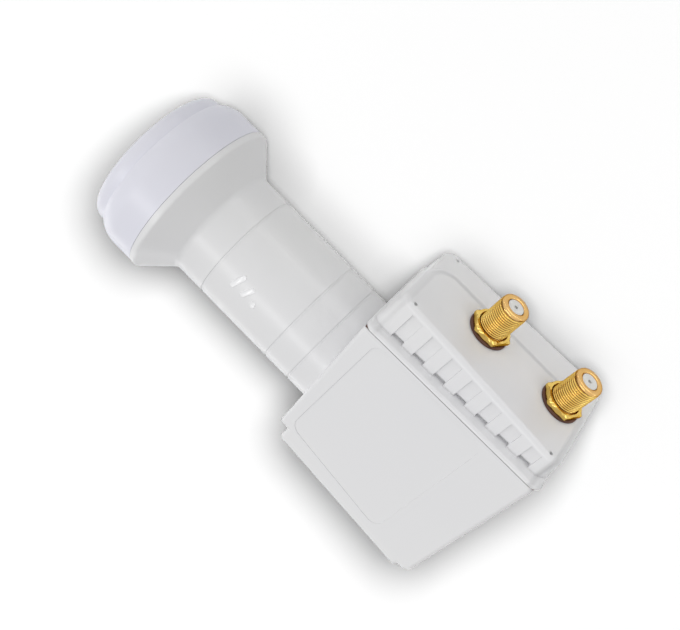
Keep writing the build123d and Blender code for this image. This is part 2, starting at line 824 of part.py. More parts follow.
with BuildPart() as voltage_regulators:
    with BuildSketch(board_plane):
        with Locations((rear_bay_x, mouth_bay_y), (rear_bay_x, spine_bay_y)):
            Rectangle(regulator_width, regulator_length)
    extrude(amount=regulator_height)
voltage_regulators.part.label = "voltage_regulators"
export_step(voltage_regulators.part, "parts/voltage_regulators.step")

with BuildPart() as board_capacitors:
    with BuildSketch(board_plane):
        with Locations((front_bay_x + 2 * chip_size, mouth_bay_y), (front_bay_x - 2 * chip_size, mouth_bay_y)):
            with GridLocations(0, capacitor_pitch, 1, 3):
                Rectangle(capacitor_length, capacitor_width)
    extrude(amount=capacitor_height)
board_capacitors.part.label = "board_capacitors"
export_step(board_capacitors.part, "parts/board_capacitors.step")


# F connectors: barrel, nut, rubber washer, insulator and contact for each outlet.
# The threads are plain: outside size where they are free, core size where the nut engages.
flange_seat = chassis_mouth - chassis_wall
washer_reach = plateau_reach + washer_thickness
nut_reach = washer_reach + nut_height
socket_floor = tip_reach - socket_depth
insulator_front = tip_reach - insulator_recess
insulator_radius = insulator_diameter / 2
insulator_rear = flange_seat - barrel_flange_thickness
sleeve_radius = barrel_bore / 2 - fit


def outlet_revolve(x, points):
    """A piece turned about an outlet's axis, from (radius, reach) points."""
    with BuildPart() as turned:
        with BuildSketch(Plane.XY.shift_origin((x, 0, 0))):
            with BuildLine():
                Polyline(*[(radius, -reach) for radius, reach in points], close=True)
            make_face()
        revolve(axis=Axis((x, 0, 0), (0, 1, 0)))
    return turned.part


for outlet, x in zip(("front", "rear"), connector_stations):
    with BuildPart() as connector_body:
        add(outlet_revolve(x, [
            (barrel_bore / 2, insulator_rear),
            (barrel_flange_diameter / 2, insulator_rear),
            (barrel_flange_diameter / 2, flange_seat),
            (thread_radius, flange_seat),
            (thread_radius, washer_reach),
            (core_radius, washer_reach),
            (core_radius, nut_reach),
            (thread_radius, nut_reach),
            (thread_radius, tip_reach - tip_chamfer),
            (thread_radius - tip_chamfer, tip_reach),
            (insulator_radius, tip_reach),
            (insulator_radius, socket_floor),
            (barrel_bore / 2, socket_floor),
        ]))
    connector_body.part.label = f"{outlet}_connector_body"
    export_step(connector_body.part, f"parts/{outlet}_connector_body.step")

    with BuildPart() as connector_nut:
        with BuildSketch(Plane.XZ.offset(washer_reach)):
            with Locations((x, 0)):
                RegularPolygon(nut_flats / 2, 6, major_radius=False)
                Circle(core_radius + fit, mode=Mode.SUBTRACT)
        extrude(amount=nut_height)
        corner_radius = nut_flats / sqrt(3)
        bevel = corner_radius - nut_flats / 2
        add(outlet_revolve(x, [
            (0, washer_reach),
            (nut_flats / 2, washer_reach),
            (corner_radius, washer_reach + bevel / 2),
            (corner_radius, nut_reach - bevel / 2),
            (nut_flats / 2, nut_reach),
            (0, nut_reach),
        ]), mode=Mode.INTERSECT)
    connector_nut.part.label = f"{outlet}_connector_nut"
    export_step(connector_nut.part, f"parts/{outlet}_connector_nut.step")

    with BuildPart() as connector_washer:
        with BuildSketch(plateau_plane):
            with Locations((x, 0)):
                Circle(washer_diameter / 2)
                Circle(thread_radius + slip, mode=Mode.SUBTRACT)
        extrude(amount=washer_thickness)
        fillet(connector_washer.edges().filter_by(GeomType.CIRCLE).sort_by(SortBy.RADIUS)[-2:], washer_edge)
    connector_washer.part.label = f"{outlet}_connector_washer"
    export_step(connector_washer.part, f"parts/{outlet}_connector_washer.step")

    with BuildPart() as connector_insulator:
        add(outlet_revolve(x, [
            (contact_radius + fit, insulator_rear),
            (sleeve_radius, insulator_rear),
            (sleeve_radius, socket_floor + fit),
            (insulator_radius - fit, socket_floor + fit),
            (insulator_radius - fit, insulator_front),
            (insulator_hole / 2, insulator_front),
            (insulator_hole / 2, insulator_front - contact_recess),
            (contact_radius + fit, insulator_front - contact_recess),
        ]))
    connector_insulator.part.label = f"{outlet}_connector_insulator"
    export_step(connector_insulator.part, f"parts/{outlet}_connector_insulator.step")

    with BuildPart() as connector_contact:
        with BuildLine() as lead_path:
            FilletPolyline(
                (x, -insulator_front + contact_recess, 0),
                (x, lead_y, 0),
                (x, lead_y, board_top + contact_radius),
                radius=contact_bend,
            )
        with BuildSketch(Plane(origin=lead_path.line @ 0, z_dir=lead_path.line % 0)):
            Circle(contact_radius)
        sweep()
    connector_contact.part.label = f"{outlet}_connector_contact"
    export_step(connector_contact.part, f"parts/{outlet}_connector_contact.step")
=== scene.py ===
import bpy
import json
import math
from mathutils import Matrix, Vector


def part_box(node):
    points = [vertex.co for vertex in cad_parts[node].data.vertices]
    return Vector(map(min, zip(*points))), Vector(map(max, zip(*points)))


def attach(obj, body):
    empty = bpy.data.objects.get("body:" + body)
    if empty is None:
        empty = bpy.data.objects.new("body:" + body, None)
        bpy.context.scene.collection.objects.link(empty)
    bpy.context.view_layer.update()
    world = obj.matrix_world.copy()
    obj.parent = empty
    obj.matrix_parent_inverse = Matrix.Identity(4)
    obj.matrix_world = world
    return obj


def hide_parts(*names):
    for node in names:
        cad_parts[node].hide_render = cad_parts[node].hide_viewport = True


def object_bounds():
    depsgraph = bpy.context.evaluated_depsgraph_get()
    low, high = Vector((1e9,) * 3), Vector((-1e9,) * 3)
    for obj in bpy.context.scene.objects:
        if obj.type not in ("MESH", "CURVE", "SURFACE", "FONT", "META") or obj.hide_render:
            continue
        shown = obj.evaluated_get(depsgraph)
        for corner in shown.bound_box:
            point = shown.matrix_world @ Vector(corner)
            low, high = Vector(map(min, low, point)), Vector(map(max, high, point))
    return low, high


# Looks of a twin-output satellite LNB: camera, light, finishes, screw threads, nuts and the marks on its neck.
# Sizes are in millimetres and are turned into metres by MM.
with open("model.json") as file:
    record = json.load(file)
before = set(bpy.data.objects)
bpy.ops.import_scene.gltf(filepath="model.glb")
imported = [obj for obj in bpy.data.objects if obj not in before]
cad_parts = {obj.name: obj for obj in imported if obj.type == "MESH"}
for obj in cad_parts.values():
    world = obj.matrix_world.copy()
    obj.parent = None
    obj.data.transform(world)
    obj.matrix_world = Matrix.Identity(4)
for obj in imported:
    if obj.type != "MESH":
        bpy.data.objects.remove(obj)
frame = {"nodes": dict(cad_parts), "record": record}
cad_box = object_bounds()
nodes = frame["nodes"]
scene = bpy.context.scene
MM = 0.001

# Camera, in the part's own frame
CAMERA_PLACE = Vector((-31.387, -220.946, 232.981)) * MM
CAMERA_RIGHT = Vector((-0.70049731, -0.51420594, -0.49486945))
CAMERA_UP = Vector((0.71310698, -0.53150885, -0.45713979))
CAMERA_BACK = Vector((-0.02796349, -0.67312005, 0.73900436))
CAMERA_LENS = 52.204
SENSOR_WIDTH = 36.0
CLIP_START = 10.0
CLIP_END = 20000.0

# Floor and light: levels are what a white surface square to the light would show
FLOOR_GAP = 0.05
FLOOR_SIZE = 20000.0
FLOOR_SEEN = 0.06
FLOOR_BOUNCE = 0.03
FLOOR_LEVEL = 0.92
FLOOR_LIFT = 0.04
FLOOR_LAMP_PLACE = Vector((-31.3, -231.0, 223.8)) * MM
FLOOR_LAMP_BACK = Vector((-0.02796349, -0.67312005, 0.73900436))
FLOOR_LAMP_SIZE = 100.0
# Painted shadow on the floor close to the part: its darkest share and its reach
FLOOR_PAINTED_SHADOW = 0.56
FLOOR_PAINTED_SHADOW_REACH = 18.0
FLOOR_CLEAR_START = 250.0
FLOOR_CLEAR_END = 500.0
WORLD_LEVEL = 0.675
WORLD_LEAN = 0.46
OUTLETS_MIDDLE = Vector((-84.0, -46.0, 0.0))
TOP_BOX = {
    "direction": Vector((0.12, 0.17, 0.98)),
    "distance": 700.0,
    "length": 620.0,
    "width": 110.0,
    "level": 0.21,
}
SIDE_BOX = {
    "direction": Vector((-0.15, -1.0, 0.06)),
    "distance": 800.0,
    "length": 700.0,
    "width": 190.0,
    "level": 0.14,
}
FILL_CARD = {
    "direction": Vector((-0.1, -1.0, 0.25)),
    "distance": 84.0,
    "length": 70.0,
    "width": 40.0,
    "level": 0.14,
}
GOLD_CARD = {
    "direction": Vector((0.585, 0.673, 0.453)),
    "distance": 400.0,
    "length": 90.0,
    "width": 160.0,
    "level": 0.4,
}

# Finishes: the part of a noise's range that is used, and how finely edges and hollows are felt out; the
# hollows set the gold's painted shade
NOISE_LOW = 0.2
NOISE_HIGH = 0.8
EDGE_SAMPLES = 6
PAINTED_SHADE_SAMPLES = 8
PAINTED_SHADE_REACH = 0.5
PLASTIC_VARIES = 0.03
PLASTIC_IOR = 1.5

# Edge of the cover's raised field
FIELD_MIDDLE = -64.35
FIELD_HALF = 31.52
FIELD_FAR = 8.0
FIELD_ROUND = 8.0
FIELD_SLOPE = 2.2
FIELD_DEPTH = 0.75

# Marks on the neck; each place is x and degrees round the neck
NECK_RADIUS = 20.0
LONG_DASH = ((7.20, 79.3), (5.87, 67.3))
SHORT_DASH = ((2.74, 79.1), (1.32, 70.2))
DOT = ((-1.77, 80.6), (-1.59, 78.9))
MARK_HEIGHT = 0.26
MARK_MIDDLE = 0.04
MARK_RIM = 0.85
MARK_WIDTH = 2.0
DOT_WIDTH = 1.9
MARK_SINK = 0.05
MARK_ROWS = 60
MARK_COLUMNS = 24
MARK_END_SQUARE = 1e-4
MARK_SHARP = 75.0

# Connectors and thread
THREAD_PITCH = 0.794
THREAD_RADIUS = 4.75
THREAD_ROOT = 4.34
THREAD_STEPS = 16
TURN_STEPS = 96
WASHER_FACE = 47.0
NUT_FACE = 48.1
NUT_BORE = 4.4
NUT_SINK = 0.8
NUT_BEVEL = 0.45
THREAD_END = 58.35
COLLAR_RADIUS = 4.62
COLLAR_EDGE = 0.12
TIP_ROUND = 0.75
TIP_STEPS = 8
BARREL_BORE = 2.2
BARREL_FLANGE_RADIUS = 5.4
BARREL_FLANGE = 1.8
NUT_CORE = 4.35
SOCKET_RADIUS = 2.7
SOCKET_DEPTH = 5.5
SOCKET_LEAD = 0.7
# Where the gold turns browner towards each tip, as painted shade for the rounded rim's darker reflection
RIM_SHADE_FROM = 58.2
RIM_SHADE_TO = 58.9
RIM_SHADE_SHARE = 0.6
GOLD_SHARP = 35.0


def srgb(red, green, blue):
    """A colour written in 0 to 255 display values, as linear RGBA by the display's standard curve."""
    linear = []
    for value in (red, green, blue):
        share = value / 255
        linear.append(share / 12.92 if share <= 0.04045 else ((share + 0.055) / 1.055) ** 2.4)
    return (*linear, 1.0)


def grey(level):
    """A linear grey."""
    return (level, level, level, 1.0)


def sum_node(tree, operation, first, second):
    """The result of a sum on two values, each a number or a socket."""
    node = tree.nodes.new("ShaderNodeMath")
    node.operation = operation
    for value, socket in ((first, node.inputs[0]), (second, node.inputs[1])):
        if isinstance(value, float):
            socket.default_value = value
        else:
            tree.links.new(value, socket)
    return node.outputs[0]


def soft_range(tree, source, start, end, low, high):
    """A value moved smoothly from the range start to end into the range low to high."""
    node = tree.nodes.new("ShaderNodeMapRange")
    node.interpolation_type = "SMOOTHSTEP"
    for name, value in (("From Min", start), ("From Max", end), ("To Min", low), ("To Max", high)):
        node.inputs[name].default_value = value
    tree.links.new(source, node.inputs["Value"])
    return node.outputs["Result"]


def split_axes(tree, place):
    """The X, Y and Z of a place."""
    node = tree.nodes.new("ShaderNodeSeparateXYZ")
    tree.links.new(place, node.inputs[0])
    return node.outputs


class Tree:
    """A material's node tree with short ways to add nodes and link them."""

    def __init__(self, name):
        self.material = bpy.data.materials.new(name)
        self.material.use_nodes = True
        self.nodes = self.material.node_tree.nodes
        self.links = self.material.node_tree.links
        self.shader = self.nodes["Principled BSDF"]
        self.place = self.nodes.new("ShaderNodeTexCoord").outputs["Object"]

    def link(self, source, target):
        self.links.new(source, target)

    def feed(self, name, source):
        """Link a source to the shader's socket of this name."""
        self.link(source, self.shader.inputs[name])

    def noise(self, scale, detail=3.0, roughness=0.5):
        """Noise of a given scale, in lumps per metre."""
        node = self.nodes.new("ShaderNodeTexNoise")
        node.inputs["Scale"].default_value = scale
        node.inputs["Detail"].default_value = detail
        node.inputs["Roughness"].default_value = roughness
        self.link(self.place, node.inputs["Vector"])
        return node.outputs["Fac"]

    def ramp(self, source, stops):
        """Colours along a value, from (position, colour) stops."""
        node = self.nodes.new("ShaderNodeValToRGB")
        node.color_ramp.interpolation = "B_SPLINE"
        elements = node.color_ramp.elements
        for index, (position, colour) in enumerate(stops):
            element = elements[index] if index < 2 else elements.new(position)
            element.position = position
            element.color = colour
        self.link(source, node.inputs["Fac"])
        return node.outputs["Color"]

    def spread(self, source, low, high):
        """A noise value moved into the range from low to high."""
        return soft_range(self, source, NOISE_LOW, NOISE_HIGH, low, high)

    def mix(self, kind, share, first, second):
        """Two colours mixed; share is a number or a socket."""
        node = self.nodes.new("ShaderNodeMix")
        node.data_type = "RGBA"
        node.blend_type = kind
        if isinstance(share, float):
            node.inputs["Factor"].default_value = share
        else:
            self.link(share, node.inputs["Factor"])
        for value, socket in ((first, node.inputs[6]), (second, node.inputs[7])):
            if isinstance(value, tuple):
                socket.default_value = value
            else:
                self.link(value, socket)
        return node.outputs[2]

    def bump(self, height, depth, strength, normal=None):
        """Surface relief of a depth in millimetres."""
        node = self.nodes.new("ShaderNodeBump")
        node.inputs["Strength"].default_value = strength
        node.inputs["Distance"].default_value = depth * MM
        self.link(height, node.inputs["Height"])
        if normal is not None:
            self.link(normal, node.inputs["Normal"])
        return node.outputs["Normal"]

    def soft_edges(self, radius):
        """Normals that turn gently over an edge of this radius."""
        node = self.nodes.new("ShaderNodeBevel")
        node.samples = EDGE_SAMPLES
        node.inputs["Radius"].default_value = radius * MM
        return node.outputs["Normal"]


def moulded_plastic(name, light, dark, tint, roughness, edge, relief=None):
    """Smooth moulded plastic: slow shifts of colour, a satin gloss and a fine skin."""
    tree = Tree(name)
    slow = tree.noise(scale=18.0, detail=1.0, roughness=0.4)
    skin = tree.noise(scale=420.0, detail=2.0)
    tree.feed("Base Color", tree.ramp(slow, [(0.20, dark), (0.50, light), (0.80, tint)]))
    tree.feed("Roughness", tree.spread(slow, roughness - PLASTIC_VARIES, roughness + PLASTIC_VARIES))
    normal = tree.bump(skin, depth=0.006, strength=0.2, normal=tree.soft_edges(edge))
    if relief is not None:
        normal = relief(tree, normal)
    tree.feed("Normal", normal)
    tree.shader.inputs["IOR"].default_value = PLASTIC_IOR
    return tree.material


def field_step(tree, normal):
    """The soft fall at the edge of the cover's raised field, on its far side and round its corners."""
    axes = split_axes(tree, tree.place)

    # Distance past the middle of a corner's round, along the cover and to its far side
    along = sum_node(tree, "ABSOLUTE", sum_node(tree, "SUBTRACT", axes["X"], FIELD_MIDDLE * MM), 0.0)
    end = sum_node(tree, "MAXIMUM", sum_node(tree, "SUBTRACT", along, (FIELD_HALF - FIELD_ROUND) * MM), 0.0)
    inward = sum_node(tree, "ADD", axes["Z"], (FIELD_FAR - FIELD_ROUND) * MM)
    far = sum_node(tree, "MAXIMUM", sum_node(tree, "MULTIPLY", inward, -1.0), 0.0)
    corner = tree.nodes.new("ShaderNodeCombineXYZ")
    tree.link(end, corner.inputs["X"])
    tree.link(far, corner.inputs["Z"])
    reach = tree.nodes.new("ShaderNodeVectorMath")
    reach.operation = "LENGTH"
    tree.link(corner.outputs[0], reach.inputs[0])
    start = (FIELD_ROUND - FIELD_SLOPE) * MM
    fall = soft_range(tree, reach.outputs["Value"], start, FIELD_ROUND * MM, 1.0, 0.0)
    return tree.bump(fall, FIELD_DEPTH, strength=1.0, normal=normal)


def gold_plate(name):
    """Thin gold plating, with painted shade: browner at the outlets' rims and in its hollows."""
    tree = Tree(name)
    slow = tree.noise(scale=260.0, detail=2.0)
    fine = tree.noise(scale=1500.0, detail=2.0)
    colour = tree.ramp(slow, [
        (0.25, srgb(219, 182, 96)),
        (0.50, srgb(230, 197, 110)),
        (0.75, srgb(236, 208, 124)),
    ])
    # Painted shade: the gold is darkened to brown in its hollows and thread grooves
    painted_shade_occlusion = tree.nodes.new("ShaderNodeAmbientOcclusion")
    painted_shade_occlusion.samples = PAINTED_SHADE_SAMPLES
    painted_shade_occlusion.inputs["Distance"].default_value = PAINTED_SHADE_REACH * MM
    painted_hollow_shade = tree.ramp(painted_shade_occlusion.outputs["AO"], [(0.15, srgb(150, 96, 52)), (0.80, srgb(255, 255, 255))])
    # Painted shade: browner towards each outlet's tip, standing in for the rounded rim's darker reflection
    outward = split_axes(tree, tree.place)["Y"]
    painted_rim_shade = soft_range(tree, outward, -RIM_SHADE_FROM * MM, -RIM_SHADE_TO * MM, 0.0, RIM_SHADE_SHARE)
    colour = tree.mix("MIX", painted_rim_shade, colour, srgb(214, 166, 118))
    tree.feed("Base Color", tree.mix("MULTIPLY", 1.0, colour, painted_hollow_shade))
    tree.feed("Roughness", tree.spread(fine, 0.16, 0.24))
    tree.feed("Normal", tree.bump(fine, depth=0.01, strength=0.15, normal=tree.soft_edges(0.10)))
    tree.shader.inputs["Metallic"].default_value = 1.0
    tree.shader.inputs["Specular Tint"].default_value = srgb(170, 116, 74)
    return tree.material


def dark_rubber(name, light, dark):
    """Matt rubber with a powdery bloom."""
    tree = Tree(name)
    slow = tree.noise(scale=300.0, detail=4.0, roughness=0.6)
    fine = tree.noise(scale=4200.0, detail=2.0)
    tree.feed("Base Color", tree.ramp(slow, [(0.32, dark), (0.70, light)]))
    tree.feed("Roughness", tree.spread(slow, 0.48, 0.66))
    tree.feed("Normal", tree.bump(fine, depth=0.03, strength=0.4, normal=tree.soft_edges(0.15)))
    tree.shader.inputs["Specular IOR Level"].default_value = 0.2
    return tree.material


def bare_metal(name, light, dark, roughness):
    """Cast or rolled metal with a slightly cloudy surface."""
    tree = Tree(name)
    slow = tree.noise(scale=180.0, detail=4.0, roughness=0.6)
    fine = tree.noise(scale=2400.0)
    tree.feed("Base Color", tree.ramp(slow, [(0.30, dark), (0.70, light)]))
    tree.feed("Roughness", tree.spread(fine, roughness - 0.06, roughness + 0.08))
    tree.feed("Normal", tree.bump(fine, depth=0.03, strength=0.3))
    tree.shader.inputs["Metallic"].default_value = 1.0
    return tree.material


def laminate(name, light, dark, roughness):
    """Board laminate or moulded chip body, with a faint weave."""
    tree = Tree(name)
    slow = tree.noise(scale=240.0)
    fine = tree.noise(scale=3600.0, detail=2.0)
    tree.feed("Base Color", tree.ramp(slow, [(0.30, dark), (0.70, light)]))
    tree.feed("Roughness", tree.spread(fine, roughness - 0.08, roughness + 0.08))
    tree.feed("Normal", tree.bump(fine, depth=0.02, strength=0.3))
    return tree.material


WHITE = {
    "light": srgb(231, 231, 232),
    "dark": srgb(229, 229, 231),
    "tint": srgb(233, 233, 232),
    "roughness": 0.32,
    "edge": 0.15,
}
finishes = {
    "white_plastic": moulded_plastic("white_plastic", **WHITE),
    "cover_plastic": moulded_plastic("cover_plastic", relief=field_step, **WHITE),
    # The marks are glossier than the housing, and their paler colour is painted highlight
    "glossy_mark_painted_highlight": moulded_plastic(
        "glossy_mark_painted_highlight", srgb(249, 249, 250), srgb(245, 245, 247), srgb(252, 252, 252),
        roughness=0.12, edge=0.10),
    "cap_plastic": moulded_plastic(
        "cap_plastic", srgb(228, 228, 238), srgb(224, 225, 237), srgb(231, 231, 238),
        roughness=0.33, edge=0.25),
    "dark_rubber": dark_rubber("dark_rubber", srgb(112, 80, 68), srgb(84, 58, 50)),
    "gold_plate": gold_plate("gold_plate"),
    "contact_metal": bare_metal("contact_metal", srgb(206, 188, 150), srgb(176, 152, 108), roughness=0.30),
    "insulator_plastic": moulded_plastic(
        "insulator_plastic", srgb(226, 226, 222), srgb(214, 214, 212), srgb(232, 231, 226),
        roughness=0.40, edge=0.10),
    "cast_metal": bare_metal("cast_metal", srgb(196, 198, 200), srgb(166, 169, 172), roughness=0.42),
    "screw_steel": bare_metal("screw_steel", srgb(186, 188, 190), srgb(150, 152, 156), roughness=0.30),
    "board_laminate": laminate("board_laminate", srgb(62, 112, 70), srgb(44, 90, 54), roughness=0.45),
    "chip_black": laminate("chip_black", srgb(42, 42, 44), srgb(28, 28, 30), roughness=0.55),
}


def dress(solid, finish):
    """Give a solid one finish."""
    solid.data.materials.clear()
    solid.data.materials.append(finishes[finish])


# Every solid takes the finish of the record's slot, and the cover has the field's soft edge as well
for subpart in frame["record"]["subparts"]:
    dress(nodes[subpart["node"]], subpart["material_slot"])
dress(nodes["connector_cover"], "cover_plastic")


def add_piece(name, points, faces, slot_name, sharp_angle, finish=None):
    """A mesh piece of the object, in metres, with its slot's finish or another."""
    mesh = bpy.data.meshes.new(name)
    mesh.from_pydata(points, [], faces)
    mesh.validate()
    mesh.shade_smooth()
    mesh.set_sharp_from_angle(angle=math.radians(sharp_angle))
    mesh.materials.append(finishes[finish or slot_name])
    piece = bpy.data.objects.new(name, mesh)
    scene.collection.objects.link(piece)
    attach(piece, "root")
    return piece


def ring_point(centre, size, reach, angle):
    """A point at a distance from an outlet's axis, a reach along it and an angle round it."""
    return (
        centre.x + size * MM * math.cos(angle),
        -reach * MM,
        centre.z + size * MM * math.sin(angle),
    )


def ring_piece(name, points, count, node):
    """A gold piece from closed rings of points, in place of a solid."""
    faces = []
    for row in range(count):
        next_row = (row + 1) % count
        for step in range(TURN_STEPS):
            following = (step + 1) % TURN_STEPS
            faces.append((
                row * TURN_STEPS + step,
                row * TURN_STEPS + following,
                next_row * TURN_STEPS + following,
                next_row * TURN_STEPS + step,
            ))
    piece = add_piece(name, points, faces, "gold_plate", GOLD_SHARP)
    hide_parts(node)
    return piece


def thread_height(reach, turn):
    """Height of the thread, 0 at its root and 1 at its crest, at a reach and a share of a turn."""
    phase = (reach / THREAD_PITCH - turn) % 1.0
    return 1.0 - (2.0 * phase - 1.0) ** 2


def barrel_profile(rear, tip):
    """(radius, reach) round the barrel's section, with the free thread as a run of close rings."""
    seat = rear + BARREL_FLANGE
    socket_floor = tip - SOCKET_DEPTH
    steps = round((THREAD_END - NUT_FACE) / THREAD_PITCH * THREAD_STEPS)
    rows = [
        (BARREL_BORE, rear),
        (BARREL_FLANGE_RADIUS, rear),
        (BARREL_FLANGE_RADIUS, seat),
        (THREAD_RADIUS, seat),
        (THREAD_RADIUS, WASHER_FACE),
        (NUT_CORE, WASHER_FACE),
        (THREAD_ROOT, NUT_FACE),
    ]

    # A ring of the thread has no one radius
    for step in range(1, steps):
        rows.append((None, NUT_FACE + (THREAD_END - NUT_FACE) * step / steps))
    rows.append((THREAD_ROOT, THREAD_END))
    rows.append((COLLAR_RADIUS - COLLAR_EDGE, THREAD_END + COLLAR_EDGE))
    rows.append((COLLAR_RADIUS, THREAD_END + 2 * COLLAR_EDGE))
    quarter = [math.pi / 2 * step / TIP_STEPS for step in range(TIP_STEPS + 1)]
    for angle in quarter:
        rows.append((
            COLLAR_RADIUS - TIP_ROUND * (1 - math.cos(angle)),
            tip - TIP_ROUND * (1 - math.sin(angle)),
        ))
    for angle in quarter:
        rows.append((
            SOCKET_RADIUS + SOCKET_LEAD * (1 - math.sin(angle)),
            tip - SOCKET_LEAD * (1 - math.cos(angle)),
        ))
    rows.append((SOCKET_RADIUS, socket_floor))
    rows.append((BARREL_BORE, socket_floor))
    return rows


def barrel(name, node):
    """The threaded barrel of an outlet, in place of its plain solid."""
    low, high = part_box(node)
    centre = (low + high) / 2
    rows = barrel_profile(-high.y / MM, -low.y / MM)
    points = []
    for radius, reach in rows:
        for step in range(TURN_STEPS):
            turn = step / TURN_STEPS
            size = radius
            if radius is None:
                size = THREAD_ROOT + (THREAD_RADIUS - THREAD_ROOT) * thread_height(reach, turn)
            points.append(ring_point(centre, size, reach, 2 * math.pi * turn))
    return ring_piece(name, points, len(rows), node)


def hex_nut(name, node):
    """The hex nut of an outlet, with turned-off corners and a countersink round the thread."""
    low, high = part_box(node)
    centre = (low + high) / 2
    flat = (high.z - low.z) / 2 / MM
    corner = (high.x - low.x) / 2 / MM
    rear = -high.y / MM
    face = -low.y / MM
    half_side = math.pi / 6

    # (radius, reach, whether the six sides cut the ring)
    rows = [
        (NUT_BORE, rear, False),
        (flat, rear, False),
        (corner, rear + NUT_BEVEL, True),
        (corner, face - NUT_BEVEL, True),
        (flat, face, False),
        (NUT_BORE + NUT_SINK, face, False),
        (NUT_BORE, face - NUT_SINK, False),
    ]
    points = []
    for radius, reach, hexagon in rows:
        for step in range(TURN_STEPS):
            angle = 2 * math.pi * step / TURN_STEPS
            past = (angle + half_side) % (2 * half_side) - half_side
            side = flat / math.cos(half_side - abs(past))
            size = min(radius, side) if hexagon else radius
            points.append(ring_point(centre, size, reach, angle))
    return ring_piece(name, points, len(rows), node)


gold_pieces = [
    barrel("front_threaded_barrel", "front_connector_body"),
    barrel("rear_threaded_barrel", "rear_connector_body"),
    hex_nut("front_hex_nut", "front_connector_nut"),
    hex_nut("rear_hex_nut", "rear_connector_nut"),
]


def neck_mark(name, start, end, width):
    """A dished mark with round ends on the neck, from one (x, degrees) place to another."""
    half = width / 2
    run_x = end[0] - start[0]
    run_arc = math.radians(end[1] - start[1]) * NECK_RADIUS
    length = math.hypot(run_x, run_arc)
    along_x = run_x / length
    along_arc = run_arc / length
    points = []
    for row in range(MARK_ROWS + 1):
        reach = -half + (length + 2 * half) * (0.5 - 0.5 * math.cos(math.pi * row / MARK_ROWS))
        past = max(-reach, reach - length, 0.0)
        side = math.sqrt(max(half * half - past * past, MARK_END_SQUARE))
        for step in range(MARK_COLUMNS + 1):
            share = 2.0 * step / MARK_COLUMNS - 1.0
            offset = side * share
            edge = min(1.0, math.hypot(offset, past) / half)
            dish = MARK_MIDDLE + (MARK_HEIGHT - MARK_MIDDLE) * (edge / MARK_RIM) ** 2
            wall = MARK_HEIGHT - (MARK_HEIGHT + MARK_SINK) * (edge - MARK_RIM) / (1.0 - MARK_RIM)
            lift = dish if edge < MARK_RIM else wall
            x = start[0] + along_x * reach - along_arc * offset
            arc = math.radians(start[1]) * NECK_RADIUS + along_arc * reach + along_x * offset
            angle = arc / NECK_RADIUS
            radius = NECK_RADIUS + lift
            points.append((x * MM, -radius * math.cos(angle) * MM, radius * math.sin(angle) * MM))

    # The dished top, and one face that closes it underneath
    row_points = MARK_COLUMNS + 1
    faces = []
    for row in range(MARK_ROWS):
        for step in range(MARK_COLUMNS):
            corner = row * row_points + step
            faces.append((corner, corner + 1, corner + row_points + 1, corner + row_points))
    rim = list(range(row_points))
    rim += [row * row_points + MARK_COLUMNS for row in range(1, MARK_ROWS + 1)]
    rim += [MARK_ROWS * row_points + step for step in range(MARK_COLUMNS - 1, -1, -1)]
    rim += [row * row_points for row in range(MARK_ROWS - 1, 0, -1)]
    faces.append(tuple(reversed(rim)))
    add_piece(name, points, faces, "white_plastic", MARK_SHARP, "glossy_mark_painted_highlight")


neck_mark("neck_dash_long", *LONG_DASH, MARK_WIDTH)
neck_mark("neck_dash_short", *SHORT_DASH, MARK_WIDTH)
neck_mark("neck_dot", *DOT, DOT_WIDTH)


# Floor
middle = (cad_box[0] + cad_box[1]) / 2
floor_level = cad_box[0].z - FLOOR_GAP * MM
half_floor = FLOOR_SIZE * MM / 2
floor_mesh = bpy.data.meshes.new("floor")
floor_mesh.from_pydata(
    [(-half_floor, -half_floor, floor_level), (half_floor, -half_floor, floor_level),
     (half_floor, half_floor, floor_level), (-half_floor, half_floor, floor_level)],
    [], [(0, 1, 2, 3)])
floor = bpy.data.objects.new("floor", floor_mesh)
scene.collection.objects.link(floor)


def seen_directly(tree):
    """1 for what the camera, gloss or glass sees, and 0 for light that bounces on."""
    path = tree.nodes.new("ShaderNodeLightPath")
    seen = path.outputs["Is Camera Ray"]
    for name in ("Is Glossy Ray", "Is Transmission Ray"):
        seen = sum_node(tree, "MAXIMUM", seen, path.outputs[name])
    return seen


